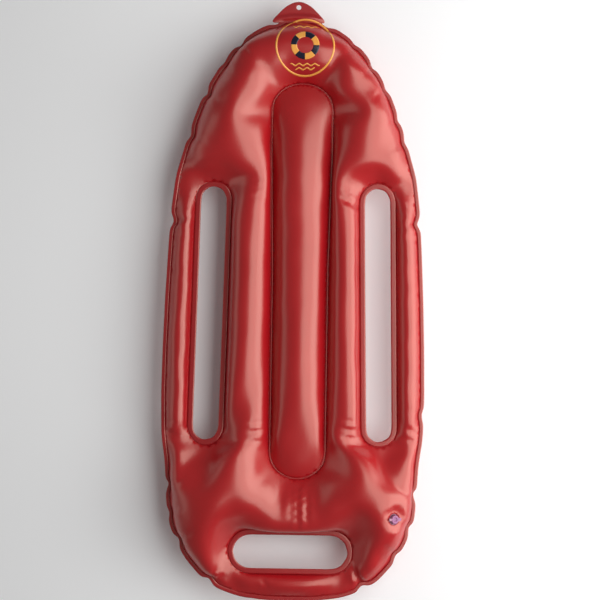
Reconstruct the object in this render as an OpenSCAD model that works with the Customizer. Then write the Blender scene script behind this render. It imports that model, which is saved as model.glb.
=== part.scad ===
// Inflatable rescue float: two sheets of PVC film welded round the outline, round
// three hand slots and along an oblong centre seam, with a push-in air valve.
// It lies on its back. +Y points to the hanging tab and +Z out of the front.

/* [Body] */
// Height of the seam plane above the ground, which is half of the full thickness
seam_z = 41; // [41:0.5:43]
// Thickness of one sheet of film
film = 0.3; // [0.25:0.05:0.4]
// Width of the fused margin outside each seam
margin = 7; // [6:0.5:8]
// Width of the centre seam
centre_seam_w = 4; // [3:0.5:5]
// Half thickness of the side rails
rail_h = 12.5; // [11:0.5:14]
// Half thickness of the two inner tubes
inner_h = 21; // [18:0.5:24]
// Half thickness of the centre tube
centre_h = 35; // [30:1:38]
// Half thickness of the handle bar
bar_h = 12.5; // [11:0.5:14]

/* [Slots] */
// Distance from the middle to each side slot at its head end
slot_x_head = 100; // [98:1:102]
// Distance from the middle to each side slot at its foot end
slot_x_foot = 106; // [104:1:107]
// Half width of the side slots
slot_r = 15.5; // [14:0.5:17]
// Head end of the side slots
slot_y_head = 139; // [135:1:142]
// Foot end of the side slots
slot_y_foot = -171; // [-174:1:-168]
// Full width of the handle slot
handle_w = 140; // [132:1:144]
// Half height of the handle slot
handle_r = 20.5; // [18:0.5:21]
// Centre line of the handle slot
handle_y = -306.5; // [-308:0.5:-305]

/* [Centre tube] */
// Sideways place of the centre tube
tube_x = 6.5; // [4:0.5:8]
// Radius of the oblong seam
tube_r = 31; // [29:0.5:32]
// Head end of the oblong seam
tube_y_head = 266; // [260:1:268]
// Foot end of the oblong seam
tube_y_foot = -217; // [-220:1:-212]

/* [Hanging tab] */
// Radius of the punched hole
hole_r = 3; // [2.5:0.25:3.5]
// Centre of the punched hole
hole_y = 359; // [357:0.5:359]
// Radius of the rounded top of the tab
tab_r = 20; // [18:0.5:21]
// Half width of the tab where it leaves the margin
tab_w = 33; // [31:1:34]

/* [Badge] */
// Sideways place of the badge
badge_x = 8.5; // [6:0.5:10]
// Centre of the badge
badge_y = 309; // [306:1:311]
// Outer radius of the badge
badge_r = 36; // [33:1:37]
// Width of the printed lines
line_w = 2.2; // [1.8:0.1:3]
// Thickness of the printed ink
ink = 0.12; // [0.1:0.01:0.2]

/* [Valve] */
// Sideways place of the valve
valve_x = 125.5; // [124:0.5:127]
// Place of the valve towards the foot
valve_y = -261; // [-264:1:-258]
// Height of the valve's mouth above the seam plane
valve_h = 31.5; // [31:0.5:33]
// Lean of the valve away from the middle
valve_lean = 30; // [28:1:32]
// Radius of the bore that the plug closes
bore_r = 3; // [2.8:0.1:3.2]
// Outer radius of the stem
stem_r = 4; // [3.9:0.1:4.2]
// Length of the stem
stem_l = 9.6; // [9:0.2:10]
// Radius of the stem's collar and of the plug's cap
cap_r = 5.2; // [5:0.1:5.4]
// Radius of the flange that is welded to the film
flange_r = 11; // [10.5:0.25:11.5]

/* [Hidden] */

red = "#b01420";
deep_red = "#8c1018";
gold = "#e8a020";
pink = "#e0a0c8";
violet = "#9c4a9c";

seam_t = 0.5;                // both sheets, fused and pressed thinner
ledge = 2.5;                 // how far a fused margin runs in under the film's edge
facets = 14;                 // sides of a pillow bead
to_flats = 1 / cos(180 / facets);
bead_turn = 7;               // keeps the beads' corners off the seams' corners
rail_lap = 1.2;              // how far a tube's beads reach under the seam beside it
tube_lap = 2;
half_space = 1000;           // a cube wider than the float

tab_top = 366;
tab_foot_y = 338;            // where the hanging tab stands on the margin
tab_flank = [[32, 343], [27, 348.7], [21.5, 354.4], [17, 359], [12, 362.2]];
ring_r = badge_r / 2;        // the badge's own device, a plain ring
ring_w = 3 * line_w;

wall = 0.6;                  // wall of the valve's soft parts
film_hole_r = flange_r - 2;  // hole in the front sheet under the flange
film_hole_h = 16;
flange_bore_r = 6.6;
flange_top = -2.4;           // all heights in the valve are from its mouth
flange_low = -3.4;
cup_r = flange_bore_r - 0.1;
collar_t = 0.8;
flap_t = 0.5;
flap_lap = 0.6;
gap = 0.1;                   // between the mouth and the cap, and the stem and the flap
cap_t = 1.5;
nub_l = 5;
nub_root_r = bore_r - 0.1;
nub_tip_r = 1.7;
pull_l = 3.3;                // pull tab of the plug
pull_w = 3.6;
strap_x = 8.4;               // how far the strap's bend stands out from the axis
strap_w = 3.2;

// Half width of the outline's cut edge, from the head to the foot
outline = [
  [341.5, 24], [334, 46], [317, 71], [293, 91], [256, 113], [225, 125], [197, 134],
  [152, 147], [112, 152], [63, 155], [2, 158], [-60, 160], [-115, 161], [-165, 160],
  [-200, 155], [-243, 153], [-267, 151], [-292, 142], [-316, 129], [-341, 107],
  [-353, 88], [-362, 62], [-366, 28]
];
outline_up = [for (i = [len(outline) - 1 : -1 : 0]) outline[i]];

function edge(y) = lookup(y, outline_up);
function slot_x(y) = lookup(y, [[slot_y_foot, slot_x_foot], [slot_y_head, slot_x_head]]);
function rail_in(y) = slot_x(y) + slot_r + margin;
function rail_x(y) = (edge(y) - margin + rail_in(y)) / 2;
function inner_out(y) = slot_x(y) - slot_r - margin;

// Places along a tube, from one end to the other
rail_ys = [165, 130, 75, 10, -60, -130, -165, -200];
inner_ys = [185, 80, -60, -215];

// Beads are [x, y, radius, half thickness]
rail_beads = [for (y = rail_ys) [rail_x(y), y, edge(y) - margin - rail_x(y) + rail_lap, rail_h]];
function inner_beads(side) = [
  for (y = inner_ys)
    let (near = tube_r + side * tube_x, far = inner_out(y))
    [(near + far) / 2, y, (far - near) / 2 + tube_lap, inner_h]
];
taper = [60, 6];              // the centre tube's ends fall by so much over this length
centre_beads = [
  [tube_x, tube_y_head - tube_r, tube_r + tube_lap, centre_h - taper[1]],
  [tube_x, tube_y_head - tube_r - taper[0], tube_r + tube_lap, centre_h],
  [tube_x, tube_y_foot + tube_r + taper[0], tube_r + tube_lap, centre_h],
  [tube_x, tube_y_foot + tube_r, tube_r + tube_lap, centre_h - taper[1]]
];
arch_bead = [34, 291, 44, 29];
foot_bead = [60, -250, 47, 29];
bar_bead = [76, -343, 19, bar_h];
head_beads = [
  [34, 289, 42, 29], [60, 258, 42, 34], [78, 218, 44, 39], [88, 185, 42, 34],
  [104, 158, 38, 23], [122, 140, 24, 15]
];
foot_beads = [
  [126, -180, 24, 15], [112, -200, 42, 29], [98, -240, 54, 41], [90, -268, 52, 38]
];
corner_beads = [[100, -290, 34, 25], [92, -318, 27, 18], [70, -339, 18, 14]];
shoulder_beads = [[58, 222, 34, 29], [60, 180, 32, 23]];
hip_beads = [[56, -205, 36, 23], [72, -236, 44, 34]];

// One bead of the pillow, with its faces in by the film's thickness where t is set
module bead(b, t) {
  translate([b[0], b[1], 0])
    rotate(bead_turn)
      scale([(b[2] - t) * to_flats, (b[2] - t) * to_flats, (b[3] - t) * to_flats])
        sphere(r = 1, $fn = facets);
}

// A tube swept through a row of beads
module tube(beads, t) {
  for (i = [0 : len(beads) - 2]) {
    hull() {
      bead(beads[i], t);
      bead(beads[i + 1], t);
    }
  }
}

// The whole air cushion, its seam plane at zero
module pillow(t) {
  tube(centre_beads, t);
  head(t);
  crossing(foot_bead, t);
  crossing(bar_bead, t);
  for (side = [1, -1]) {
    scale([side, 1, 1]) {
      tube(rail_beads, t);
      tube(inner_beads(side), t);
      tube(foot_beads, t);
      tube(corner_beads, t);
      tube(shoulder_beads, t);
      tube(hip_beads, t);
    }
  }
}

// The arch over the head end, which carries the badge
module head(t) {
  crossing(arch_bead, t);
  for (side = [1, -1]) {
    scale([side, 1, 1]) tube(head_beads, t);
  }
}

// A tube straight across the middle, from a bead on the left to its mirror on the right
module crossing(b, t) {
  tube([[-b[0], b[1], b[2], b[3]], b], t);
}

module outline_2d() {
  right = [for (p = outline) [p[1], p[0]]];
  left = [for (p = outline_up) [-p[1], p[0]]];
  polygon(concat(right, left));
}

// A leaning slot with round ends, its edge moved out by grow
module side_slot_2d(grow) {
  run = [slot_x_head - slot_x_foot, slot_y_head - slot_y_foot - 2 * slot_r];
  r = slot_r + grow;
  translate([slot_x_foot, slot_y_foot + slot_r]) {
    rotate(atan2(-run[0], run[1])) {
      circle(r = r, $fn = 48);
      translate([0, norm(run)]) circle(r = r, $fn = 48);
      translate([-r, 0]) square([2 * r, norm(run)]);
    }
  }
}

module handle_slot_2d(grow) {
  end_x = handle_w / 2 - handle_r;
  for (side = [1, -1]) {
    translate([side * end_x, handle_y]) circle(r = handle_r + grow, $fn = 48);
  }
  translate([-end_x, handle_y - handle_r - grow]) square([2 * end_x, 2 * (handle_r + grow)]);
}

module oblong_2d(r) {
  for (y = [tube_y_head - tube_r, tube_y_foot + tube_r]) {
    translate([tube_x, y]) circle(r = r, $fn = 64);
  }
  translate([tube_x - r, tube_y_foot + tube_r]) square([2 * r, tube_y_head - tube_y_foot - 2 * tube_r]);
}

// Where the two sheets stand apart
module chambers_2d(t) {
  offset(delta = -t) {
    difference() {
      offset(delta = -margin) outline_2d();
      side_slot_2d(margin);
      mirror([1, 0]) side_slot_2d(margin);
      handle_slot_2d(margin);
      difference() {
        oblong_2d(tube_r + centre_seam_w / 2);
        oblong_2d(tube_r - centre_seam_w / 2);
      }
    }
  }
}

module cushion(t) {
  intersection() {
    pillow(t);
    linear_extrude(height = 4 * seam_z, center = true) chambers_2d(t);
  }
}

// A sheet of film over the front half of the cushion
module sheet() {
  difference() {
    cushion(0);
    cushion(film);
    translate([-half_space, -half_space, seam_t / 2 - 2 * half_space]) cube(2 * half_space);
  }
}

module at_seam() {
  translate([0, 0, seam_z]) children();
}

module fused() {
  at_seam() linear_extrude(height = seam_t, center = true) children();
}

// The valve's own place: its axis is local Z, and its mouth is at zero
module at_valve() {
  translate([valve_x, valve_y, seam_z + valve_h]) rotate([0, valve_lean, 0]) children();
}

module tube_ring(r_out, r_in, z_low, z_high) {
  translate([0, 0, z_low]) {
    difference() {
      cylinder(r = r_out, h = z_high - z_low, $fn = 64);
      translate([0, 0, -1]) cylinder(r = r_in, h = z_high - z_low + 2, $fn = 64);
    }
  }
}

module front_skin() {
  color(red) difference() {
    at_seam() sheet();
    at_valve() translate([0, 0, -film_hole_h / 2]) cylinder(r = film_hole_r, h = film_hole_h, $fn = 32);
  }
}

module back_skin() {
  color(red) at_seam() mirror([0, 0, 1]) sheet();
}

module outer_seam() {
  color(deep_red) fused() {
    difference() {
      outline_2d();
      offset(delta = -margin - ledge) outline_2d();
      hanging_tab_2d();
    }
  }
}

module slot_seam(side) {
  color(deep_red) fused() {
    scale([side, 1]) {
      difference() {
        side_slot_2d(margin + ledge);
        side_slot_2d(0);
      }
    }
  }
}

module left_slot_seam() {
  slot_seam(-1);
}

module right_slot_seam() {
  slot_seam(1);
}

module handle_slot_seam() {
  color(deep_red) fused() {
    difference() {
      handle_slot_2d(margin + ledge);
      handle_slot_2d(0);
    }
  }
}

module centre_seam() {
  color(deep_red) fused() {
    difference() {
      oblong_2d(tube_r + ledge);
      oblong_2d(tube_r - ledge);
    }
  }
}

// The tab's outline: a wide foot on the margin, sloping flanks and a round top
module hanging_tab_2d() {
  side = concat([[tab_w, tab_foot_y]], tab_flank);
  difference() {
    union() {
      translate([0, tab_top - tab_r]) circle(r = tab_r, $fn = 64);
      polygon(concat(side, [for (i = [len(side) - 1 : -1 : 0]) [-side[i][0], side[i][1]]]));
    }
    translate([0, hole_y]) circle(r = hole_r, $fn = 64);
  }
}

module hanging_tab() {
  color(red) fused() hanging_tab_2d();
}

module badge_2d() {
  translate([badge_x, badge_y]) {
    difference() {
      circle(r = badge_r, $fn = 64);
      circle(r = badge_r - line_w, $fn = 64);
    }
    difference() {
      circle(r = ring_r, $fn = 64);
      circle(r = ring_r - ring_w, $fn = 64);
    }
  }
}

// A skin of ink over the head, as far as the seam
module badge_print() {
  color(gold) at_seam() difference() {
    intersection() {
      head(-ink);
      translate([0, 0, seam_t]) linear_extrude(height = 2 * seam_z) badge_2d();
    }
    head(0);
  }
}

module valve_flange() {
  color(pink) at_valve() tube_ring(flange_r, flange_bore_r, flange_low, flange_top);
}

// Folded down into a cup while the stem is pushed in
module valve_boot() {
  color(pink) at_valve() {
    tube_ring(cup_r, cup_r - wall, -stem_l, flange_low + wall);
    tube_ring(cup_r, stem_r, -stem_l - wall, -stem_l);
  }
}

module valve_stem() {
  color(pink) at_valve() {
    tube_ring(stem_r, bore_r, -stem_l, 0);
    tube_ring(cap_r, stem_r, -collar_t, 0);
  }
}

module check_flap() {
  color(pink) at_valve() {
    translate([0, 0, -stem_l - gap - flap_t]) cylinder(r = bore_r + flap_lap, h = flap_t, $fn = 48);
  }
}

// A band from the collar, round one bend, to the cap
module plug_strap() {
  color(pink) at_valve() difference() {
    translate([-strap_x, -strap_w / 2, 0]) {
      translate([0, 0, -wall]) cube([strap_x, strap_w, wall]);
      cube([wall, strap_w, gap + wall]);
      translate([0, 0, gap + wall]) cube([strap_x, strap_w, wall]);
    }
    translate([0, 0, -2 * wall]) cylinder(r = cap_r, h = gap + 4 * wall, $fn = 64);
  }
}

module valve_plug() {
  color(violet) at_valve() {
    translate([0, 0, gap]) cylinder(r = cap_r, h = cap_t, $fn = 64);
    translate([0, 0, gap - nub_l]) cylinder(r1 = nub_tip_r, r2 = nub_root_r, h = nub_l, $fn = 64);
    translate([cap_r - 1, -pull_w / 2, gap + cap_t / 2]) cube([pull_l + 1, pull_w, cap_t / 2]);
  }
}

front_skin();
back_skin();
outer_seam();
left_slot_seam();
right_slot_seam();
handle_slot_seam();
centre_seam();
hanging_tab();
badge_print();
valve_flange();
valve_boot();
valve_stem();
check_flap();
plug_strap();
valve_plug();
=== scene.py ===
import bmesh
import bpy
import math
import numpy as np
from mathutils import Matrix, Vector
from mathutils.bvhtree import BVHTree
from mathutils.geometry import delaunay_2d_cdt
from mathutils.kdtree import KDTree


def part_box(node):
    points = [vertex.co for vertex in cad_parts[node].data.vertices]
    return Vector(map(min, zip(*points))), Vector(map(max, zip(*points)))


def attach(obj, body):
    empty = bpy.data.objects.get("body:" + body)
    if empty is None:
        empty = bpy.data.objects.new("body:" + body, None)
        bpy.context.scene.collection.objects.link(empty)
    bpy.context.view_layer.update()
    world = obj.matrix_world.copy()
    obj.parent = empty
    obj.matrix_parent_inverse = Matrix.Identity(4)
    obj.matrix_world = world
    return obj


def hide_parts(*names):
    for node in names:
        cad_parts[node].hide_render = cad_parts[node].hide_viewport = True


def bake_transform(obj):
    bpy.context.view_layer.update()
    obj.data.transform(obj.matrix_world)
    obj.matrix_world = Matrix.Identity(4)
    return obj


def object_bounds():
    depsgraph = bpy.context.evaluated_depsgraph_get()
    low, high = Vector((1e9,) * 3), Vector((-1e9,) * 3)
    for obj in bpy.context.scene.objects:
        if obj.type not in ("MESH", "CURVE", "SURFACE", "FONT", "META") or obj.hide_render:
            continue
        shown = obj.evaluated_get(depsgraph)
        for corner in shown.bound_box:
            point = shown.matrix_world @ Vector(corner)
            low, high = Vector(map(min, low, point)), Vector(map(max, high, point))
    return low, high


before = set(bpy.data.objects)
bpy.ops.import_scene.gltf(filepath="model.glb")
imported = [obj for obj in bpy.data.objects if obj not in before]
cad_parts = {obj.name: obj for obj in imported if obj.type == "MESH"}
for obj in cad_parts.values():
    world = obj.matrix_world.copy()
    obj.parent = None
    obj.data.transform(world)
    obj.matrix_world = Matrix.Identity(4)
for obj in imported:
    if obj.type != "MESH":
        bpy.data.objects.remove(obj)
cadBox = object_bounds()
scene = bpy.context.scene
seamLow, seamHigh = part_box("outer_seam")
seamZ = (seamLow.z + seamHigh.z) / 2
topZ = cadBox[1].z


def loopArea(loop):  # loops are arrays of x, y in metres that run counterclockwise
    after = np.roll(loop, -1, 0)
    return 0.5 * np.sum(loop[:, 0] * after[:, 1] - after[:, 0] * loop[:, 1])


def turned(loop):
    return loop if loopArea(loop) > 0 else loop[::-1]


def lengths(loop):
    closed = np.vstack([loop, loop[:1]])
    steps = np.linalg.norm(np.diff(closed, axis=0), axis=1)
    return closed, np.concatenate([[0], np.cumsum(steps)])


def pointsAt(loop, at, ruler=None):  # ruler is the loop that at is measured along, if it isn't this one
    run = lengths(loop if ruler is None else ruler)[1]
    closed = np.vstack([loop, loop[:1]])
    at = np.mod(at, run[-1])
    return np.stack([np.interp(at, run, closed[:, k]) for k in (0, 1)], 1)


def evenLoop(loop, step):
    run = lengths(loop)[1][-1]
    return pointsAt(loop, np.linspace(0, run, max(8, round(run / step)), endpoint=False))


def softLoop(loop, reach):  # rounds corners over about reach, on a loop of 1 mm steps
    width = max(1, round(reach / 0.001))
    kernel = np.hanning(2 * width + 3)[1:-1]
    kernel /= kernel.sum()
    padded = np.vstack([loop[-width:], loop, loop[:width]])
    return np.stack([np.convolve(padded[:, k], kernel, "valid") for k in (0, 1)], 1)


def pushed(loop, by):  # outwards
    along = np.roll(loop, -1, 0) - np.roll(loop, 1, 0)
    out = np.stack([along[:, 1], -along[:, 0]], 1)
    return loop + np.reshape(by, (-1, 1)) * out / np.linalg.norm(out, axis=1)[:, None]


def roundedSlot(x1, y1, r1, x2, y2, r2):  # two round ends and the straight sides between them
    low, high = np.array([x1, y1]), np.array([x2, y2])
    up = (high - low) / np.linalg.norm(high - low)
    side = np.array([-up[1], up[0]])
    turn = np.linspace(0, math.pi, 24)
    cap = high + r2 * (-np.outer(np.cos(turn), side) + np.outer(np.sin(turn), up))
    foot = low + r1 * (np.outer(np.cos(turn), side) - np.outer(np.sin(turn), up))
    return evenLoop(turned(np.vstack([cap, foot])), 0.001)


def insideLoop(points, loop):
    x, y = points[:, 0], points[:, 1]
    hit = np.zeros(len(points), bool)
    for (a, b), (c, d) in zip(loop, np.roll(loop, -1, 0)):
        crosses = (b > y) != (d > y)
        if b != d:
            hit ^= crosses & (x < (c - a) * (y - b) / (d - b) + a)
    return hit


def rimLoops(node):  # the edge loops of a flat CAD node's top face, the longest first
    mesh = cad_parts[node].data
    top = max(v.co.z for v in mesh.vertices) - 1e-5
    places, keys = [], {}
    for v in mesh.vertices:
        key = tuple(round(c * 1e6) for c in v.co)
        places.append(keys.setdefault(key, len(keys)))
    spot = {places[v.index]: (v.co.x, v.co.y) for v in mesh.vertices}
    runs = set()
    for face in mesh.polygons:
        if all(mesh.vertices[i].co.z > top for i in face.vertices):
            ring = [places[i] for i in face.vertices]
            runs.update(zip(ring, ring[1:] + ring[:1]))
    onward = {a: b for a, b in runs if (b, a) not in runs}
    loops = []
    while onward:
        start = here = next(iter(onward))
        loop = []
        while here in onward:
            loop.append(spot[here])
            here = onward.pop(here)
        loops.append(turned(np.array(loop)))
    return sorted(loops, key=lambda loop: -lengths(loop)[1][-1])


def nearestRun(loop, point):
    fine = np.linspace(0, lengths(loop)[1][-1], 4000, endpoint=False)
    return fine[np.argmin(((pointsAt(loop, fine) - point) ** 2).sum(1))]


def pairedLoops(flat, blown, ties, step, by, bent=lambda loop: loop):
    # flat's points and where each is once blown up, and the same for the loop that lies by beside it
    flatRun, blownRun = lengths(flat)[1][-1], lengths(blown)[1][-1]
    pairs = sorted((nearestRun(flat, a), nearestRun(blown, b)) for a, b in ties)
    a = [p[0] for p in pairs]
    b = [p[1] for p in pairs]
    for i in range(1, len(b)):
        while b[i] < b[i - 1]:
            b[i] += blownRun
    a.append(a[0] + flatRun)
    b.append(b[0] + blownRun)
    at = np.linspace(0, flatRun, round(flatRun / step), endpoint=False)
    to = np.interp(np.where(at < a[0], at + flatRun, at), a, b)
    return [(pointsAt(pushed(flat, d), at, flat), pointsAt(bent(pushed(blown, d)), to, blown))
            for d in (0, by)]


film = dict(  # the two sheets of film, cut flat, welded and blown up
    spacing=0.006,
    thickness=0.0003, weldThickness=0.0005,
    weld=0.0048, slotWeld=0.0070, centreWeld=0.0016,  # widths of the fused margins
    halfCut=[(0, .371), (.044, .366), (.082, .347), (.113, .313), (.135, .274), (.152, .230), (.165, .187),
             (.176, .140), (.181, .090), (.184, .030), (.186, -.040), (.187, -.110), (.187, -.165),
             (.184, -.212), (.180, -.262), (.171, -.306), (.151, -.341), (.121, -.367), (.084, -.384),
             (.040, -.391), (0, -.392)],  # from the middle of the head to the middle of the foot
    sideSlot=(.127, -.166, .011, .125, .132, .011),  # x, y and radius at the foot end and the head end
    handleSlot=(-.058, -.332, .015, .058, -.332, .015),
    centreLoop=(.0085, -.1810, .0408, .0085, .2310, .0408),
    valveAt=(.1345, -.2765),
    valveHole=.0072, valveEdge=.0112,  # the film runs over the flange between these
    tubeWide=1.09, headWide=.10,  # how far the blown-up centre tube spreads its weld
    spreadFrom=.04, spreadOver=.14,  # where along y the wider spread at the head sets in
    crown=.3468,  # the margin's highest point, under the tab
    waists=[(.177, .143, .139), (.187, -.177, -.171)],  # cut x, cut y, and y once blown up
    grip=0.6,  # how firmly the seams are drawn to their places
    pressure=150, tension=60, give=20, bending=0.6,
    damping=5, bendDamping=0.5, airDamping=1.0, quality=6, mass=0.3,
    drawnIn=20, frames=35,  # the frame where the seams reach their places, and the last one
    jitter=0.1, clear=0.62,  # of the net's points, as shares of the spacing
    rise=0.35, riseReach=0.030, riseLeast=0.0005, riseFlat=0.1,  # how far apart the sheets start
    fillRounds=1500,
)
ruffles = dict(depth=0.0009, length=0.0105, sway=2, floor=-0.3, ends=0.75)
valve = dict(at=Vector((0.1255, -0.261, 0.0725)), lean=math.radians(30), seat=-0.0020)
valve["out"] = Vector((math.sin(valve["lean"]), 0, math.cos(valve["lean"])))
valve["across"] = Vector((math.cos(valve["lean"]), 0, -math.sin(valve["lean"])))
valve["up"] = Vector((0, 1, 0))

pinches = dict(  # where a gather in the film pinches the outline: x, y and depth
    reach=0.012, pull=1.4, slant=0.4,
    places=[(-.028, .341, .0030), (-.071, .315, .0040), (-.092, .293, .0025), (-.112, .254, .0040),
            (-.131, .202, .0035), (-.147, .096, .0050), (-.147, -.227, .0040), (-.150, -.262, .0035),
            (-.137, -.294, .0050), (-.100, -.343, .0050), (.036, .339, .0030), (.070, .317, .0025),
            (.092, .289, .0035), (.109, .261, .0025), (.125, .224, .0025), (.135, .197, .0025),
            (.152, .097, .0040), (.157, -.138, .0030), (.148, -.236, .0055), (.146, -.277, .0040),
            (.131, -.311, .0040), (.088, -.347, .0060)],
)


def outlineFromFrame():  # the margin's edge, carried across where the tab stands
    loop = evenLoop(rimLoops("outer_seam")[0], 0.001)
    tabLow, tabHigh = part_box("hanging_tab")
    atTab = (np.abs(loop[:, 0]) < tabHigh.x + 0.002) & (loop[:, 1] > tabLow.y - 0.004)
    start = np.where(atTab)[0][0]
    loop, atTab = np.roll(loop, -start, 0), np.roll(atTab, -start)
    runs = np.split(np.arange(len(loop)), np.where(np.diff(atTab.astype(int)))[0] + 1)
    clear = [loop[run] for run in runs if not atTab[run[0]]]
    edge = max(clear, key=lambda run: np.ptp(run[:, 0]) + np.ptp(run[:, 1]))
    x = np.linspace(edge[-1, 0], edge[0, 0], 70)[1:-1]
    y = (edge[-1, 1] + edge[0, 1]) / 2
    crown = np.stack([x, y + (film["crown"] - y) * (1 - (x / edge[-1, 0]) ** 2)], 1)
    return evenLoop(softLoop(evenLoop(np.vstack([edge, crown]), 0.001), 0.014), 0.001)


def ruffled(loop):  # the round ends of a slot pucker a little
    middle = loop.mean(0)
    turn = np.arctan2(*(loop - middle).T[::-1])
    reach = np.linalg.norm(loop - middle, axis=1)
    ends = np.clip((reach / reach.max() - ruffles["ends"]) / (1 - ruffles["ends"]), 0, 1)
    run = lengths(loop)[1][:-1]
    sway = ruffles["sway"] * np.sin(3 * turn)
    wave = np.maximum(np.sin(run / ruffles["length"] * 2 * math.pi + sway), ruffles["floor"])
    return pushed(loop, -ruffles["depth"] * ends * wave)


def pinched(loop):
    for x, y, depth in pinches["places"]:
        place = pointsAt(loop, np.array([nearestRun(loop, (x, y))]))[0]
        away = np.linalg.norm(loop - place, axis=1) / pinches["reach"]
        inward = -place * (1, pinches["slant"])
        pull = pinches["pull"] * depth * np.clip(1 - away, 0, 1) ** 2
        loop = loop + np.outer(pull, inward / np.linalg.norm(inward))
    return loop


def filmLoops():
    step, weld, slotWeld = film["spacing"], film["weld"], film["slotWeld"]
    half = [np.array(p) for p in film["halfCut"]]
    cut = half + [p * (-1, 1) for p in half[-2:0:-1]]
    cut = evenLoop(softLoop(evenLoop(turned(np.array(cut)), 0.001), 0.02), 0.001)
    goal = outlineFromFrame()
    ties = [((0, cut[:, 1].max()), (0, goal[:, 1].max())), ((0, cut[:, 1].min()), (0, goal[:, 1].min()))]
    for x, y, goalY in film["waists"]:
        for side in (1, -1):
            edge = np.abs(goal[np.abs(goal[:, 1] - goalY) < 0.002][:, 0]).max()
            ties.append(((side * x, y), (side * edge, goalY)))
    loops = {}
    loops["cut"], loops["weld"] = pairedLoops(cut, goal, ties, step, -weld, pinched)
    x1, y1, r1, x2, y2, r2 = film["sideSlot"]
    for name, side in (("right", 1), ("left", -1)):
        flat = roundedSlot(side * x1, y1, r1, side * x2, y2, r2)
        goal = evenLoop(rimLoops(name + "_slot_seam")[1], 0.001)
        ties = [((side * x2, y2 + r2), goal[goal[:, 1].argmax()]),
                ((side * x1, y1 - r1), goal[goal[:, 1].argmin()])]
        loops[name], loops[name + "Weld"] = pairedLoops(flat, goal, ties, step, slotWeld, ruffled)
    x1, y1, r1, x2, y2, r2 = film["handleSlot"]
    flat = roundedSlot(*film["handleSlot"])
    goal = evenLoop(rimLoops("handle_slot_seam")[1], 0.001)
    gx, gy = goal[:, 0].max(), (goal[:, 1].max() + goal[:, 1].min()) / 2
    ties = [((x2 + r2, y2), (gx, gy)), ((x1 - r1, y1), (-gx, gy)),
            ((0, y1 + r1), (0, goal[:, 1].max())), ((0, y1 - r1), (0, goal[:, 1].min()))]
    loops["handle"], loops["handleWeld"] = pairedLoops(flat, goal, ties, step, slotWeld, ruffled)
    half = film["centreWeld"] / 2
    flat = pushed(roundedSlot(*film["centreLoop"]), half)
    outer, inner = rimLoops("centre_seam")[:2]
    goal = evenLoop(outer, 0.001)
    goal = pushed(goal, half - (outer[:, 0].max() - inner[:, 0].max()) / 2)
    middle = (goal[:, 0].max() + goal[:, 0].min()) / 2
    toHead = np.clip((goal[:, 1] - film["spreadFrom"]) / film["spreadOver"], 0, 1)
    goal[:, 0] = middle + (goal[:, 0] - middle) * (film["tubeWide"] + film["headWide"] * toHead)
    ties = [(flat[flat[:, 1].argmax()], goal[goal[:, 1].argmax()]),
            (flat[flat[:, 1].argmin()], goal[goal[:, 1].argmin()])]
    loops["centreOut"], loops["centreIn"] = pairedLoops(flat, goal, ties, step, -2 * half)
    for name, radius in (("valveHole", film["valveHole"]), ("valveEdge", film["valveEdge"])):
        count = max(12, round(2 * math.pi * radius / (0.8 * step)))
        turn = np.linspace(0, 2 * math.pi, count, endpoint=False)
        ring = radius * np.stack([np.cos(turn), np.sin(turn)], 1)
        loops[name] = (ring + film["valveAt"], ring * (math.cos(valve["lean"]), 1) + valve["at"][:2])
    return loops


strips = {  # each welded strip: its cut edge, its inner edge and the loop that lies outside
    "outer_weld": ("cut", "weld", "cut"),
    "right_slot_weld": ("right", "rightWeld", "rightWeld"),
    "left_slot_weld": ("left", "leftWeld", "leftWeld"),
    "handle_slot_weld": ("handle", "handleWeld", "handleWeld"),
    "centre_weld": ("centreOut", "centreIn", "centreOut"),
}


def averager(edges, count):  # gives the function that averages each row's neighbours
    ends = np.concatenate([edges[:, 0], edges[:, 1]])
    others = np.concatenate([edges[:, 1], edges[:, 0]])
    degree = np.maximum(np.bincount(ends, minlength=count), 1)[:, None]

    def averaged(values):
        sums = [np.bincount(ends, values[others, k], count) for k in range(values.shape[1])]
        return np.stack(sums, 1) / degree

    return averaged


def spread(values, known, edges, count, rounds):  # fills in unknown rows from the known ones, smoothly
    averaged = averager(edges, count)
    values = values.copy()
    values[~known] = 0
    for i in range(rounds):
        values[~known] = averaged(values)[~known]
    return values


def triangleNet(low, high, step, rise):  # points of a net of triangles that fills a box
    rows = np.arange(low[1], high[1], step * rise)
    return np.array([(x + (i % 2) * step / 2, y)
                     for i, y in enumerate(rows) for x in np.arange(low[0], high[0], step)])


def edgesOf(*groups):
    pairs = [faces[:, [k, (k + 1) % faces.shape[1]]] for faces in groups for k in range(faces.shape[1])]
    return np.unique(np.sort(np.vstack(pairs), axis=1), axis=0)


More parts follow.
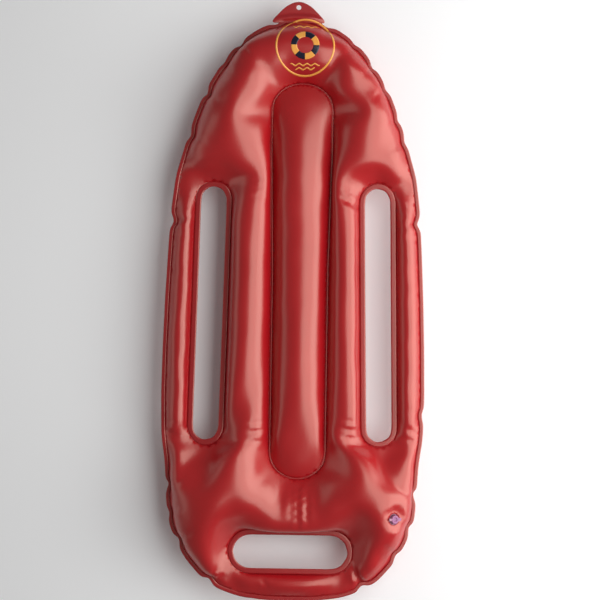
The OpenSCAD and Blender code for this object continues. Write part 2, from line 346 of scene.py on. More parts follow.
def flatFilm():  # one flat net for both sheets: places, where the seams go, faces and zones
    loops = filmLoops()
    step = film["spacing"]
    names = list(loops)
    rim = np.vstack([loops[n][0] for n in names])
    goal = np.vstack([loops[n][1] for n in names])
    owner = np.concatenate([np.full(len(loops[n][0]), i) for i, n in enumerate(names)])
    rings = {n: np.where(owner == i)[0] for i, n in enumerate(names)}
    edges = [(ring[i - 1], ring[i]) for ring in rings.values() for i in range(len(ring))]
    net = triangleNet(rim.min(0), rim.max(0), step, math.sqrt(3) / 2)
    net += np.random.default_rng(3).normal(0, film["jitter"] * step, net.shape)

    def inAir(points):
        kept = insideLoop(points, loops["weld"][0])
        for n in ("rightWeld", "leftWeld", "handleWeld"):
            kept &= ~insideLoop(points, loops[n][0])
        return kept & ~(insideLoop(points, loops["centreOut"][0]) & ~insideLoop(points, loops["centreIn"][0]))

    tree = KDTree(len(rim))
    for i, p in enumerate(rim):
        tree.insert((p[0], p[1], 0), i)
    tree.balance()

    def away(points):
        return np.array([tree.find((p[0], p[1], 0))[2] for p in points])

    net = net[inAir(net)]
    net = net[away(net) > film["clear"] * step]
    found = delaunay_2d_cdt([Vector(p) for p in np.vstack([rim, net])], edges, [], 0, 1e-10, True)
    flat = np.array([tuple(v) for v in found[0]])
    faces = np.array([tuple(f) for f in found[2]])
    source = np.array([s[0] if s else -1 for s in found[3]])
    faces = faces[inAir(flat[faces].mean(1))]
    onRim = (source >= 0) & (source < len(rim))
    kind = np.where(onRim, owner[np.where(onRim, source, 0)], -1)
    target = flat.copy()
    target[onRim] = goal[source[onRim]]
    fresh = np.zeros(len(rim), int)
    fresh[source[onRim]] = np.where(onRim)[0]
    bands = {}
    for strip, (edge, weld, outside) in strips.items():
        a = fresh[rings[outside]]
        b = fresh[rings[weld if outside == edge else edge]]
        bands[strip] = np.stack([a, np.roll(a, -1), np.roll(b, -1), b], 1)
    hole = insideLoop(flat[faces].mean(1), loops["valveHole"][0])
    return dict(names=names, flat=flat, faces=faces, hole=hole, kind=kind, target=target,
                away=away(flat), bands=bands)


def blowUp():
    net = flatFilm()
    flat, faces, kind, names = net["flat"], net["faces"], net["kind"], net["names"]
    count = len(flat)
    margin = np.vstack(list(net["bands"].values()))
    onValve = np.isin(kind, [names.index(n) for n in ("valveHole", "valveEdge")])
    welded = (kind >= 0) & ~onValve
    moved = spread(net["target"] - flat, welded, edgesOf(faces, margin), count, film["fillRounds"])
    place = flat + moved
    place[onValve] = net["target"][onValve]
    inAir = np.zeros(count, bool)
    inAir[faces.ravel()] = True
    doubled = inAir & ~welded
    behind = np.arange(count)
    behind[doubled] = count + np.arange(doubled.sum())
    rise = np.minimum(net["away"], film["riseReach"]) * film["rise"] + film["riseLeast"]
    rise = np.where(doubled, rise, 0)
    front = faces[~net["hole"]]
    back = behind[faces][:, ::-1]

    def twoSheets(spots, height):
        low = np.column_stack([spots[doubled], -height[doubled]])
        return np.vstack([np.column_stack([spots, height]), low])

    flat3, goal3 = twoSheets(flat, film["riseFlat"] * rise), twoSheets(place, rise)
    ring = np.where(onValve)[0]
    seat = valve["at"] + valve["out"] * valve["seat"]
    goal3[ring, 0] += seat.x - valve["at"].x
    goal3[ring, 2] = seat.z - seamZ - (goal3[ring, 0] - seat.x) * math.tan(valve["lean"])
    total = len(flat3)
    mesh = bpy.data.meshes.new("film")
    mesh.from_pydata(flat3.tolist(), [], front.tolist() + back.tolist() + margin.tolist())
    body = bpy.data.objects.new("film", mesh)
    scene.collection.objects.link(body)
    body.shape_key_add(name="Basis")
    key = body.shape_key_add(name="blown")
    key.data.foreach_set("co", goal3.astype(np.float32).ravel())
    for value, at in ((0, 1), (1, film["drawnIn"])):
        key.value = value
        key.keyframe_insert("value", frame=at)
    inFilm = np.zeros(total, bool)
    inFilm[front.ravel()] = inFilm[back.ravel()] = True
    airGroup = body.vertex_groups.new(name="air")
    airGroup.add([int(i) for i in np.where(inFilm)[0]], 1.0, "REPLACE")
    airGroup.add([int(i) for i in np.where(~inFilm)[0]], 0.0, "REPLACE")
    pinGroup = body.vertex_groups.new(name="held")
    pinGroup.add([int(i) for i in np.where(welded)[0]], film["grip"], "REPLACE")
    pinGroup.add([int(i) for i in ring], 1.0, "REPLACE")
    cloth = body.modifiers.new("cloth", "CLOTH")
    c = cloth.settings
    c.quality, c.mass, c.air_damping = film["quality"], film["mass"], film["airDamping"]
    c.tension_stiffness, c.compression_stiffness = film["tension"], film["give"]
    c.shear_stiffness, c.bending_stiffness = film["tension"] / 2, film["bending"]
    c.tension_damping = c.compression_damping = c.shear_damping = film["damping"]
    c.bending_damping = film["bendDamping"]
    c.use_pressure, c.uniform_pressure_force = True, film["pressure"]
    c.vertex_group_pressure, c.vertex_group_mass = "air", "held"
    c.pin_stiffness = 1.0
    c.effector_weights.gravity = 0
    cloth.collision_settings.use_collision = False
    scene.frame_start, scene.frame_end = 1, film["frames"]
    cloth.point_cache.frame_start, cloth.point_cache.frame_end = 1, film["frames"]
    for f in range(1, film["frames"] + 1):
        scene.frame_set(f)
    shown = body.evaluated_get(bpy.context.evaluated_depsgraph_get())
    co = np.zeros(total * 3, np.float32)
    shown.data.vertices.foreach_get("co", co)
    co = co.reshape(-1, 3).astype(float)
    bpy.data.objects.remove(body)
    bpy.data.meshes.remove(mesh)
    scene.frame_set(1)
    kindAll = np.concatenate([kind, np.full(total - count, -1)])
    print("film blown up:", total, "points", np.round((co.max(0) - co.min(0)) * 1000, 1), "mm")
    return dict(co=co, goal=goal3, front=front, back=back, margin=margin, kind=kindAll, names=names,
                bands=net["bands"])


def evened(co, faces, free, rounds):  # takes out ripples without shrinking
    averaged = averager(edgesOf(faces), len(co))
    for i in range(rounds):
        for share in (0.5, -0.52):
            co[free] += share * (averaged(co) - co)[free]
    return co


shaping = dict(
    filmRounds=24, rimRounds=3, rimShare=0.5, drawRounds=600,
    roundSpacing=0.009,  # the spacing that filmRounds is meant for
    valveLift=0.0036, valveReach=0.020,  # how high the film stands round the valve, and how far out
    valveRamp=0.006, liftedTo=0.018, valveCalm=0.05,
)
gather = dict(start=0.003, end=0.024, width=0.0026, share=0.3)  # a fold runs in from each pinch
foldShape = dict(taper=0.6, banks=0.45, bankAt=1.9, nearWidths=3, nearWide=0.003, nearLong=0.005)
folds = [  # sharp folds in the front sheet: from x, y to x, y, how wide and how deep
    (.052, .128, .082, .113, .0030, .0026), (.055, .139, .073, .130, .0020, .0008),
    (.058, .147, .076, .137, .0020, .0007), (.128, .102, .154, .094, .0028, .0026),
    (.132, .081, .147, .080, .0022, .0012), (.128, .119, .138, .113, .0022, .0012),
    (-.052, .147, -.034, .143, .0022, .0012), (-.053, .137, -.033, .134, .0022, .0013),
    (-.053, .127, -.035, .126, .0022, .0011), (-.150, .097, -.126, .100, .0030, .0028),
    (-.146, .080, -.132, .076, .0026, .0012), (-.054, -.150, -.035, -.146, .0024, .0014),
    (-.055, -.160, -.034, -.158, .0024, .0016), (-.052, -.171, -.036, -.173, .0022, .0012),
    (.058, -.146, .084, -.143, .0024, .0014), (.057, -.155, .086, -.155, .0024, .0016),
    (.060, -.165, .082, -.167, .0022, .0012), (.133, -.150, .157, -.162, .0028, .0016),
    (.134, -.163, .152, -.172, .0024, .0011), (-.157, -.152, -.143, -.150, .0024, .0014),
    (-.156, -.166, -.141, -.163, .0022, .0011), (.003, -.224, .002, -.270, .0040, .0016),
    (.0095, -.223, .009, -.278, .0026, .0030), (.018, -.226, .019, -.272, .0030, .0018),
    (.077, -.324, .089, -.346, .0030, .0030), (-.078, -.336, -.099, -.346, .0030, .0024),
    (-.034, -.340, -.028, -.347, .0022, .0012), (.045, -.3395, .049, -.350, .0022, .0010),
]


def foldList():  # the folds, and one that runs in from each pinch of the outline
    made = list(folds)
    for x, y, depth in pinches["places"]:
        inward = Vector((-x, -pinches["slant"] * y)).normalized()
        a, b = Vector((x, y)) + gather["start"] * inward, Vector((x, y)) + gather["end"] * inward
        made.append((*a, *b, gather["width"], gather["share"] * depth))
    return made


def awayFromFold(co, x1, y1, x2, y2):  # how far along the fold and how far from it each point is
    a, b = np.array([x1, y1]), np.array([x2, y2])
    length = np.linalg.norm(b - a)
    along = (co[:, :2] - a) @ (b - a) / length ** 2
    off = (co[:, :2] - a) @ np.array([-(b - a)[1], (b - a)[0]]) / length
    return along, off, length


def finer(co, faces, near, fixed):  # splits the edges near the folds, so that a fold has points to bend at
    split, points = {}, list(co)

    def middle(a, b):
        key = (min(a, b), max(a, b))
        if not (near[a] and near[b]) or (fixed[a] and fixed[b]):
            return -1
        if key not in split:
            split[key] = len(points)
            points.append((co[a] + co[b]) / 2)
        return split[key]

    made = []
    for a, b, c in faces.tolist():
        if near[a] + near[b] + near[c] < 2:
            made.append((a, b, c))
            continue
        ab, bc, ca = middle(a, b), middle(b, c), middle(c, a)
        for turn in range(3):  # puts the unsplit edges in a known place
            if ab >= 0 > ca or max(ab, bc, ca) < 0 or min(ab, bc, ca) >= 0:
                break
            a, b, c, ab, bc, ca = b, c, a, bc, ca, ab
        if ab < 0:
            made.append((a, b, c))
        elif bc < 0:
            made += [(a, ab, c), (ab, b, c)]
        elif ca < 0:
            made += [(ab, b, bc), (a, ab, bc), (a, bc, c)]
        else:
            made += [(a, ab, ca), (ab, b, bc), (bc, c, ca), (ab, bc, ca)]
    return np.array(points), np.array(made)


def pointNormals(co, faces):
    face = np.cross(co[faces[:, 1]] - co[faces[:, 0]], co[faces[:, 2]] - co[faces[:, 0]])
    out = np.stack([sum(np.bincount(faces[:, j], face[:, k], len(co)) for j in range(3))
                    for k in range(3)], 1)
    return out / np.maximum(np.linalg.norm(out, axis=1), 1e-12)[:, None]


def folded(co, faces, fixed, strokes):
    near = np.zeros(len(co), bool)
    wide, long = foldShape["nearWide"], foldShape["nearLong"]
    for x1, y1, x2, y2, width, depth in strokes:
        along, off, length = awayFromFold(co, x1, y1, x2, y2)
        beside = np.abs(off) < foldShape["nearWidths"] * width + wide
        near |= beside & (along * length > -long) & (along * length < length + long)
    co, faces = finer(co, faces, near, fixed)
    out = pointNormals(co, faces)
    for x1, y1, x2, y2, width, depth in strokes:
        along, off, length = awayFromFold(co, x1, y1, x2, y2)
        taper = np.clip(4 * along * (1 - along), 0, 1) ** foldShape["taper"]
        bank = np.exp(-((np.abs(off) - foldShape["bankAt"] * width) / width) ** 2)
        wave = np.exp(-(off / width) ** 2) - foldShape["banks"] * bank
        push = depth * taper * wave
        push[:len(fixed)][fixed] = 0
        co = co - push[:, None] * out
    return co, faces


def shapedFilm():
    blown = blowUp()
    co, kind, names = blown["co"], blown["kind"], blown["names"]
    total = len(co)
    every = edgesOf(blown["front"], blown["back"], blown["margin"])
    held = kind >= 0
    for i in range(len(names)):  # takes out the seams' own zigzag, along each seam
        own = kind == i
        averaged = averager(every[own[every[:, 0]] & own[every[:, 1]]], total)
        for turn in range(shaping["rimRounds"]):
            co[own] += shaping["rimShare"] * (averaged(co) - co)[own]
    co += spread(blown["goal"] - co, held, every, total, shaping["drawRounds"])
    rounds = round(shaping["filmRounds"] * (shaping["roundSpacing"] / film["spacing"]) ** 2)
    for sheet in (blown["front"], blown["back"]):
        free = np.zeros(total, bool)
        free[sheet.ravel()] = True
        co = evened(co, sheet, free & ~held, rounds)
    co[:, 2] += seamZ
    fromValve = (co[:, 0] - valve["at"].x) ** 2 + (co[:, 1] - valve["at"].y) ** 2
    nearValve = np.exp(-fromValve / shaping["valveCalm"] ** 2)
    inFront = co[:, 2] > seamZ
    toTop, toFloor = (topZ - seamZ) / (co[:, 2].max() - seamZ), seamZ / (seamZ - co[:, 2].min())
    stretch = 1 + (np.where(inFront, toTop, toFloor) - 1) * np.where(inFront, 1 - nearValve, 1)
    co[:, 2] = seamZ + (co[:, 2] - seamZ) * stretch
    frontOnly = np.zeros(total, bool)
    frontOnly[blown["front"].ravel()] = True
    seat = valve["at"] + valve["out"] * valve["seat"]
    far = co - np.array(seat)
    far = np.linalg.norm(far - np.outer(far @ np.array(valve["out"]), np.array(valve["out"])), axis=1)
    ramp = np.clip((far - film["valveEdge"]) / shaping["valveRamp"], 0, 1)
    fade = np.exp(-(np.maximum(far - shaping["liftedTo"], 0) / shaping["valveReach"]) ** 2)
    lift = ramp * ramp * (3 - 2 * ramp) * fade
    lift[~frontOnly | held] = 0
    co += shaping["valveLift"] * np.outer(lift, np.array(valve["out"]))
    blown["co"] = co
    blown["frontCo"], blown["front"] = folded(co, blown["front"], held, foldList())
    print("film shaped:", len(blown["front"]), "faces in front")
    return blown


def meshPiece(name, co, faces):
    used = np.unique(faces)
    fresh = np.full(len(co), -1)
    fresh[used] = np.arange(len(used))
    mesh = bpy.data.meshes.new(name)
    mesh.from_pydata(co[used].tolist(), [], fresh[faces].tolist())
    mesh.update()
    piece = bpy.data.objects.new(name, mesh)
    scene.collection.objects.link(piece)
    return piece


def settled(piece):  # applies the piece's modifiers
    graph = bpy.context.evaluated_depsgraph_get()
    shown = piece.evaluated_get(graph)
    mesh = bpy.data.meshes.new_from_object(shown, preserve_all_data_layers=True, depsgraph=graph)
    piece.modifiers.clear()
    piece.data = mesh
    for face in mesh.polygons:
        face.use_smooth = True
    return piece


def thickened(piece, thickness, offset, rounds=1):
    if rounds:
        sub = piece.modifiers.new("sub", "SUBSURF")
        sub.levels = sub.render_levels = rounds
        sub.boundary_smooth = "ALL"
    shell = piece.modifiers.new("shell", "SOLIDIFY")
    shell.thickness, shell.offset = thickness, offset
    return settled(piece)


blown = shapedFilm()


def filmPieces():
    made = {}
    sheets = (("front_film", "front", "frontCo", "front_skin"), ("back_film", "back", "co", "back_skin"))
    for name, key, places, node in sheets:
        piece = meshPiece(name, blown[places], blown[key])
        thickened(piece, film["thickness"], -1)
        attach(piece, "float")
        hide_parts(node)
        made[name] = piece
    for name, quads in blown["bands"].items():
        piece = meshPiece(name, blown["co"], quads)
        thickened(piece, film["weldThickness"], 0, 2)
        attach(piece, "float")
        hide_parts(name.replace("weld", "seam"))
        made[name] = piece
    print("film cut into", len(made), "pieces")
    return made


tab = dict(
    spacing=0.0016, thickness=0.0006, soften=0.005,
    foot=0.3400,  # the part below this is within the margin
    lift=0.0007,  # it lies on the welded margin at its foot
    rolls=[(.3474, 0.0024, 0.0028)],  # y, height and half width of the folds at its foot
    bow=-4.2, rollEnds=1.15,  # how much the folds curve, per metre, and how they fade at the sides
    sway=0.0006, swayLength=0.0085, swayTo=0.352, swayOver=0.010,  # a slight wave below swayTo
)


def netInside(outline, holes, step):  # a flat triangle net inside an outline
    loops = [evenLoop(outline, step)] + [evenLoop(h, step * 0.6) for h in holes]
    rim = np.vstack(loops)
    edges, start = [], 0
    for loop in loops:
        edges += [(start + i, start + (i + 1) % len(loop)) for i in range(len(loop))]
        start += len(loop)

    def within(points):
        kept = insideLoop(points, loops[0])
        for h in loops[1:]:
            kept &= ~insideLoop(points, h)
        return kept

    net = triangleNet(rim.min(0), rim.max(0), step, 0.87)
    net = net[within(net)]
    gap = np.array([np.linalg.norm(rim - q, axis=1).min() for q in net])
    net = net[gap > 0.55 * step]
    found = delaunay_2d_cdt([Vector(q) for q in np.vstack([rim, net])], edges, [], 0, 1e-10, False)
    flat = np.array([tuple(v) for v in found[0]])
    faces = np.array([f for f in (tuple(f) for f in found[2]) if len(f) == 3])
    return flat, faces[within(flat[faces].mean(1))]


def tabPiece():
    outline, hole = rimLoops("hanging_tab")[:2]
    outline[:, 1] = np.maximum(outline[:, 1], tab["foot"])
    outline = softLoop(evenLoop(outline, 0.001), tab["soften"])
    flat, faces = netInside(outline, [hole], tab["spacing"])
    half = np.abs(outline[:, 0]).max()
    z = np.full(len(flat), seamZ + tab["lift"])
    for y, height, width in tab["rolls"]:
        off = (flat[:, 1] - y - tab["bow"] * flat[:, 0] ** 2) / width
        z += height * np.exp(-off ** 2) * np.clip(tab["rollEnds"] - (flat[:, 0] / half) ** 2, 0, 1)
    fade = np.clip((tab["swayTo"] - flat[:, 1]) / tab["swayOver"], 0, 1)
    z += tab["sway"] * np.sin(flat[:, 0] / tab["swayLength"]) * fade
    piece = meshPiece("hanging_flap", np.column_stack([flat, z]), faces)
    thickened(piece, tab["thickness"], 0)
    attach(piece, "float")
    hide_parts("hanging_tab")
    print("tab made:", len(faces), "faces before thickening")
    return piece


badge = dict(  # the printed badge: a plain ring round a life ring and waves
    at=(.0085, .309),
    ring=(.0338, .0360),  # inner and outer radius
    lifeRing=(.0100, .0172), lifeRingAt=(0, .0005),
    bands=8, bandTurn=math.radians(11),
    waves=[(.0245, .0150), (-.0225, .0180), (-.0270, .0120)],  # height above the middle, half width
    swell=.0011, waveLength=.0095, waveWidth=.0017,
    step=.0011, gap=.00006, thickness=.00008, merge=.00001,
    searches=(0, .0004, .0012, .003),  # how far aside the surface below is looked for
)


def arcStrip(inner, outer, start, end, step):  # a ring, or part of one, as quads
    count = max(3, round(abs(end - start) * outer / step))
    across = max(1, round((outer - inner) / step))
    turn = np.linspace(start, end, count + 1)
    reach = np.linspace(inner, outer, across + 1)
    places = np.array([(q * math.cos(t), q * math.sin(t)) for t in turn for q in reach])
    return places, gridFaces(count, across)


def gridFaces(count, across):
    row = across + 1
    return [(i * row + j, i * row + j + 1, (i + 1) * row + j + 1, (i + 1) * row + j)[::-1]
            for i in range(count) for j in range(across)]


def waveStrip(height, half, step):
    count = round(2 * half / step * 1.6)
    x = np.linspace(-half, half, count + 1)
    y = height + badge["swell"] * np.sin(2 * math.pi * x / badge["waveLength"])
    width = badge["waveWidth"] / 2 * np.clip(8 * (1 - np.abs(x / half)), 0.15, 1) ** 0.5
    places = np.array([(x[i], y[i] + side * width[i]) for i in range(count + 1) for side in (-1, 0, 1)])
    return places, [f[::-1] for f in gridFaces(count, 2)]


def heightOver(trees, x, y):  # of the surface below a point, or beside it where the point is over a crack
    for reach in badge["searches"]:
        for a, b in ((0, 0), (1, 0), (-1, 0), (0, 1), (0, -1)):
            start = Vector((x + a * reach, y + b * reach, 0.3))
            hits = [tree.ray_cast(start, Vector((0, 0, -1)))[0] for tree in trees]
            heights = [hit.z for hit in hits if hit is not None]
            if heights:
                return max(heights)
    return seamZ


def badgePiece(under):
    meshes = [piece.data for piece in under]
    trees = [BVHTree.FromPolygons([v.co for v in m.vertices], [f.vertices[:] for f in m.polygons])
             for m in meshes]
    step = badge["step"]
    parts = [(0, (0, 0), *arcStrip(*badge["ring"], 0, 2 * math.pi, step))]
    for i in range(badge["bands"]):
        start = 2 * math.pi * (i - 0.25) / badge["bands"] + badge["bandTurn"]
        end = start + 2 * math.pi / badge["bands"]
        parts.append((i % 2, badge["lifeRingAt"], *arcStrip(*badge["lifeRing"], start, end, step)))
    for height, half in badge["waves"]:
        parts.append((0, (0, 0), *waveStrip(height, half, step)))
    places, faces, inks = [], [], []
    for ink, shift, spots, quads in parts:
        start = len(places)
        for x, y in spots:
            x, y = x + shift[0] + badge["at"][0], y + shift[1] + badge["at"][1]
            places.append((x, y, heightOver(trees, x, y) + badge["gap"]))
        faces += [tuple(start + i for i in quad) for quad in quads]
        inks += [ink] * len(quads)
    mesh = bpy.data.meshes.new("badge")
    mesh.from_pydata([tuple(q) for q in places], [], faces)
    for face, ink in zip(mesh.polygons, inks):
        face.material_index = ink
    mesh.update()
    piece = bpy.data.objects.new("badge", mesh)
    scene.collection.objects.link(piece)
    for name in ("goldInk", "navyInk"):
        mesh.materials.append(bpy.data.materials.new(name))
    join = piece.modifiers.new("join", "WELD")
    join.merge_threshold = badge["merge"]
    thickened(piece, badge["thickness"], 1, 0)
    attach(piece, "float")
    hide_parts("badge_print")
    print("badge made:", len(parts), "strips")
    return piece


moulding = dict(  # the valve, in millimetres along its own axis; profiles are radius and height
    steps=48,
    boot=[(6.5, -2.9), (6.5, -9.4), (6.35, -9.9), (5.9, -10.2), (4.0, -10.2), (4.0, -9.65), (5.5, -9.6),
          (5.9, -9.2), (5.9, -2.9)],
    bootStretch=(-3, -9.9),  # heights between which the cup stretches
    cap=[(0, 1.0), (0.7, 1.0), (1.0, 0.65), (2.1, 0.65), (2.5, 1.3), (2.9, 1.6), (4.5, 1.6), (5.0, 1.4),
         (5.2, 0.9), (5.1, 0.3), (4.8, 0.12), (2.85, 0.12), (2.8, -0.6), (2.45, -2.4), (1.9, -4.0),
         (1.6, -4.8), (1.1, -4.95), (0, -4.95)],
    pull=[(4.0, 1.9), (6.4, 2.2), (7.9, 1.8), (8.5, 0.9)],  # x and half width of the pull tab
    pullHeights=(0.8, 1.55),
    strap=[(-4.9, -0.45), (-6.6, -0.5), (-7.8, -0.25), (-8.3, 0.3), (-7.9, 0.75), (-6.6, 0.95),
           (-4.95, 0.9)],
    strapSize=(3.2, 0.55), strapPoints=25, strapRounds=6,
    strapBend=((-8.1, 0, -0.3), (-8.1, 0, 0.9)),
    voxel=0.00022,
)


def atValve(x, y, z):
    x, y, z = float(x) / 1000, float(y) / 1000, float(z) / 1000
    return valve["at"] + x * valve["across"] + y * valve["up"] + z * valve["out"]


def lathed(profile, closed):  # places and faces of a turned shape, in valve millimetres
    steps = moulding["steps"]
    places, rows, faces = [], [], []
    for radius, z in profile:
        if radius == 0:
            rows.append([len(places)] * steps)
            places.append((0, 0, z))
            continue
        rows.append(list(range(len(places), len(places) + steps)))
        turns = [2 * math.pi * i / steps for i in range(steps)]
        places += [(radius * math.cos(t), radius * math.sin(t), z) for t in turns]
    for upper, lower in zip(rows, rows[1:] + (rows[:1] if closed else [])):
        for i in range(steps):
            ring = [upper[i], lower[i], lower[(i + 1) % steps], upper[(i + 1) % steps]]
            ring = list(dict.fromkeys(ring))
            if len(ring) > 2:
                faces.append(ring)
    return places, faces


def slab(path, low, high):  # a flat bar along x with half widths, in valve millimetres
    sides = [(x, -w) for x, w in path] + [(x, w) for x, w in reversed(path)]
    count = len(sides)
    places = [(x, y, low) for x, y in sides] + [(x, y, high) for x, y in sides]
    faces = [list(range(count))[::-1], list(range(count, 2 * count))]
    faces += [[i, (i + 1) % count, count + (i + 1) % count, count + i] for i in range(count)]
    return places, faces


def swept(path, width, thick):  # a strap along x and z, in valve millimetres
    path = np.array(path)
    fine = np.linspace(0, len(path) - 1, moulding["strapPoints"])
    path = np.stack([np.interp(fine, range(len(path)), path[:, k]) for k in (0, 1)], 1)
    for turn in range(moulding["strapRounds"]):
        path[1:-1] = 0.5 * path[1:-1] + 0.25 * (path[2:] + path[:-2])
    along = np.gradient(path, axis=0)
    out = np.stack([along[:, 1], -along[:, 0]], 1) / np.linalg.norm(along, axis=1)[:, None]
    w, t = width / 2, thick / 2
    corners = [(-w, -t), (w, -t), (w, t), (-w, t)]
    places = [(q[0] + t * n[0], y, q[1] + t * n[1]) for q, n in zip(path, out) for y, t in corners]
    last = 4 * (len(path) - 1)
    faces = [[4 * i + j, 4 * i + (j + 1) % 4, 4 * i + 4 + (j + 1) % 4, 4 * i + 4 + j]
             for i in range(len(path) - 1) for j in range(4)]
    return places, faces + [[3, 2, 1, 0], [last, last + 1, last + 2, last + 3]]


def valvePiece(name, parts, body, node, voxel=None):
    places, faces = [], []
    for spots, polygons in parts:
        faces += [[len(places) + i for i in polygon] for polygon in polygons]
        places += [tuple(atValve(*q)) for q in spots]
    mesh = bpy.data.meshes.new(name)
    mesh.from_pydata(places, [], faces)
    work = bmesh.new()
    work.from_mesh(mesh)
    bmesh.ops.recalc_face_normals(work, faces=work.faces)
    work.to_mesh(mesh)
    work.free()
    piece = bpy.data.objects.new(name, mesh)
    scene.collection.objects.link(piece)
    if voxel:
        remesh = piece.modifiers.new("remesh", "REMESH")
        remesh.mode = "VOXEL"
        remesh.voxel_size = voxel
        smooth = piece.modifiers.new("smooth", "SMOOTH")
        smooth.factor, smooth.iterations = 0.5, 6
    settled(piece)
    if body:
        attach(piece, body)
    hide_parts(node)
    return piece


def valvePieces():
    parts = [lathed(moulding["cap"], False), slab(moulding["pull"], *moulding["pullHeights"])]
    cap = valvePiece("valve_cap", parts, "plug", "valve_plug", moulding["voxel"])
    parts = [lathed(moulding["boot"], True)]
    boot = valvePiece("valve_cup", parts, None, "valve_boot")
    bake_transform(boot)
    parts = [swept(moulding["strap"], *moulding["strapSize"])]
    strap = valvePiece("valve_strap", parts, None, "plug_strap")
    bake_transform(strap)
    print("valve made: cap, cup and strap")
    return dict(valve_cap=cap, valve_cup=boot, valve_strap=strap)


def material(name):
    m = bpy.data.materials.new(name)
    m.use_nodes = True
    return m, m.node_tree.nodes, m.node_tree.links, m.node_tree.nodes["Principled BSDF"]


def speckled(made, scale, dark, light):  # noise between two colours as the base colour
    m, nodes, links, shader = made
    place = nodes.new("ShaderNodeTexCoord")
    noise = nodes.new("ShaderNodeTexNoise")
    noise.inputs["Scale"].default_value = scale
    links.new(place.outputs["Object"], noise.inputs["Vector"])
    tint = nodes.new("ShaderNodeValToRGB")
    tint.color_ramp.elements[0].color = (*dark, 1)
    tint.color_ramp.elements[1].color = (*light, 1)
    links.new(noise.outputs["Fac"], tint.inputs["Fac"])
    links.new(tint.outputs["Color"], shader.inputs["Base Color"])
    return place, noise, tint


vinyl = dict(
    light=(0.44, 0.006, 0.012), dark=(0.40, 0.004, 0.009), rough=(0.27, 0.32),
    fusedLight=(0.38, 0.008, 0.014), fusedDark=(0.31, 0.005, 0.010), fusedRough=(0.20, 0.30),
    patch=14, detail=3, ramp=(0.3, 0.7), grain=900, bump=0.06, bumpDepth=0.0002,
    ior=1.53, shine=1.0, shineTint=(1.0, 0.86, 0.72, 1),
    glow=0.1, glowReach=(0.004, 0.0005, 0.0005),
)


def vinylMaterial(name, light, dark, rough):
    made = material(name)
    m, nodes, links, shader = made
    place, patches, tint = speckled(made, vinyl["patch"], dark, light)
    patches.inputs["Detail"].default_value = vinyl["detail"]
    tint.color_ramp.elements[0].position, tint.color_ramp.elements[1].position = vinyl["ramp"]
    haze = nodes.new("ShaderNodeMapRange")
    haze.inputs["To Min"].default_value, haze.inputs["To Max"].default_value = rough
    links.new(patches.outputs["Fac"], haze.inputs["Value"])
    links.new(haze.outputs["Result"], shader.inputs["Roughness"])
    grain = nodes.new("ShaderNodeTexNoise")
    grain.inputs["Scale"].default_value = vinyl["grain"]
    links.new(place.outputs["Object"], grain.inputs["Vector"])
    bump = nodes.new("ShaderNodeBump")
    bump.inputs["Strength"].default_value = vinyl["bump"]
    bump.inputs["Distance"].default_value = vinyl["bumpDepth"]
    links.new(grain.outputs["Fac"], bump.inputs["Height"])
    links.new(bump.outputs["Normal"], shader.inputs["Normal"])
    shader.inputs["IOR"].default_value = vinyl["ior"]
    shader.inputs["Specular Tint"].default_value = vinyl["shineTint"]
    shader.inputs["Specular IOR Level"].default_value = vinyl["shine"]
    shader.inputs["Subsurface Weight"].default_value = vinyl["glow"]
    shader.inputs["Subsurface Radius"].default_value = vinyl["glowReach"]
    return m


clear = dict(
    pink=(0.72, 0.36, 0.50), pinkRough=0.28, violet=(0.50, 0.16, 0.36), violetRough=0.24,
    cloud=220, shade=0.85, through=0.35, ior=1.5,
)
inks = dict(
    gold=((0.92, 0.42, 0.09), (0.86, 0.37, 0.06)), navy=((0.012, 0.012, 0.030), (0.007, 0.007, 0.018)),
    speck=700, rough=0.22, ior=1.5,
)


def clearMaterial(name, colour, rough):
    made = material(name)
    speckled(made, clear["cloud"], [clear["shade"] * c for c in colour], colour)
    made[3].inputs["Roughness"].default_value = rough
    made[3].inputs["Transmission Weight"].default_value = clear["through"]
    made[3].inputs["IOR"].default_value = clear["ior"]
    return made[0]


def inkMaterial(name, light, dark):
    made = material(name)
    speckled(made, inks["speck"], dark, light)
    made[3].inputs["Roughness"].default_value = inks["rough"]
    made[3].inputs["IOR"].default_value = inks["ior"]
    return made[0]


def painted(piece, m):
    piece.data.materials.clear()
    piece.data.materials.append(m)


def paintEverything(made):
    red = vinylMaterial("redVinyl", vinyl["light"], vinyl["dark"], vinyl["rough"])
    fused = vinylMaterial("fusedVinyl", vinyl["fusedLight"], vinyl["fusedDark"], vinyl["fusedRough"])
    pink = clearMaterial("pinkValve", clear["pink"], clear["pinkRough"])
    violet = clearMaterial("violetPlug", clear["violet"], clear["violetRough"])
    gold = inkMaterial("goldInk", *inks["gold"])
    navy = inkMaterial("navyInk", *inks["navy"])
    coats = dict(front_film=red, back_film=red, hanging_flap=fused)
    coats.update(valve_cap=violet, valve_cup=pink, valve_strap=pink)
    coats.update({name: fused for name in strips})
    for name, coat in coats.items():
        painted(made[name], coat)
    for name in ("valve_flange", "valve_stem", "check_flap"):
        painted(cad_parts[name], pink)
    for place, ink in enumerate((gold, navy)):
        made["badge"].data.materials[place] = ink
    print("painted", len(made), "pieces and the carried-over valve parts")


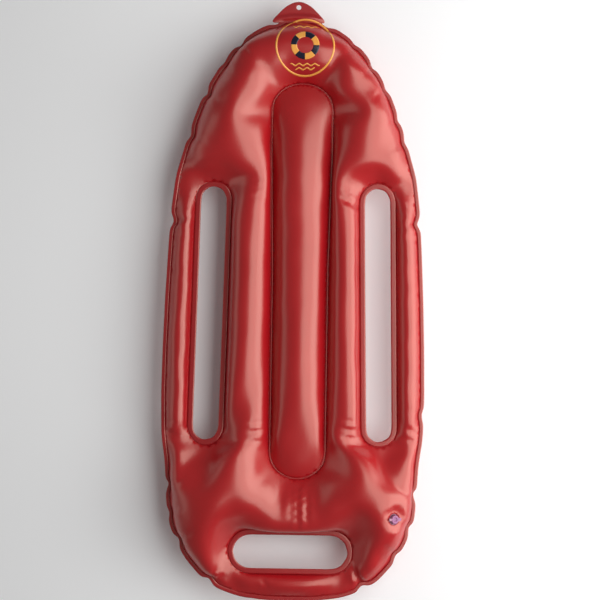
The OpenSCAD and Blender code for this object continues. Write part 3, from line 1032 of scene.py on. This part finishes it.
studio = dict(  # floor, light and camera
    floor=(0.96, 0.96, 0.96), floorRough=0.7, floorHalf=6,
    sky=0.17,
    centre=(0.0071, 0.0016),  # what the middle of the view looks at
    across=0.7337,  # width of the view at the seam's height
    roll=math.radians(0.92),
    lens=100, farthest=20,
    panels=[((0.20, 1.18), (0.85, 0.80), 1.5, 9), ((0.85, 0.80), (1.60, 0.10), 1.6, 18),
            ((-1.50, 0.25), (-1.15, 0.75), 1.5, 2)],  # x, z of the two edges, length along y, power
)


def buildStudio():
    mesh = bpy.data.meshes.new("floor")
    half = studio["floorHalf"]
    corners = [(-half, -half, 0), (half, -half, 0), (half, half, 0), (-half, half, 0)]
    mesh.from_pydata(corners, [], [(0, 1, 2, 3)])
    floor = bpy.data.objects.new("floor", mesh)
    scene.collection.objects.link(floor)
    m, nodes, links, shader = material("paleFloor")
    shader.inputs["Base Color"].default_value = (*studio["floor"], 1)
    shader.inputs["Roughness"].default_value = studio["floorRough"]
    floor.data.materials.append(m)
    world = bpy.data.worlds.new("studio")
    scene.world = world
    world.use_nodes = True
    sky = world.node_tree.nodes["Background"]
    sky.inputs["Color"].default_value = (1, 1, 1, 1)
    sky.inputs["Strength"].default_value = studio["sky"]
    for (x1, z1), (x2, z2), length, power in studio["panels"]:
        light = bpy.data.lights.new("panel", "AREA")
        light.shape = "RECTANGLE"
        light.size, light.size_y = length, math.hypot(x2 - x1, z2 - z1)
        light.energy = power
        panel = bpy.data.objects.new("panel", light)
        scene.collection.objects.link(panel)
        panel.location = ((x1 + x2) / 2, 0, (z1 + z2) / 2)
        panel.rotation_euler = (-panel.location).to_track_quat("-Z", "Y").to_euler()
        panel.visible_camera = False
    camera = bpy.data.cameras.new("camera")
    camera.lens = studio["lens"]
    holder = bpy.data.objects.new("camera", camera)
    scene.collection.objects.link(holder)
    away = studio["across"] / 2 / math.tan(math.atan(camera.sensor_width / 2 / camera.lens))
    holder.location = (*studio["centre"], seamZ + away)
    holder.rotation_euler = (0, 0, studio["roll"])
    camera.clip_end = studio["farthest"]
    scene.camera = holder
    scene.view_settings.view_transform = "Standard"
    print("studio built:", len(studio["panels"]), "light panels")


pieces = filmPieces()
pieces["hanging_flap"] = tabPiece()
pieces["badge"] = badgePiece([pieces[n] for n in ("front_film", "outer_weld", "hanging_flap")])
pieces.update(valvePieces())
paintEverything(pieces)
buildStudio()
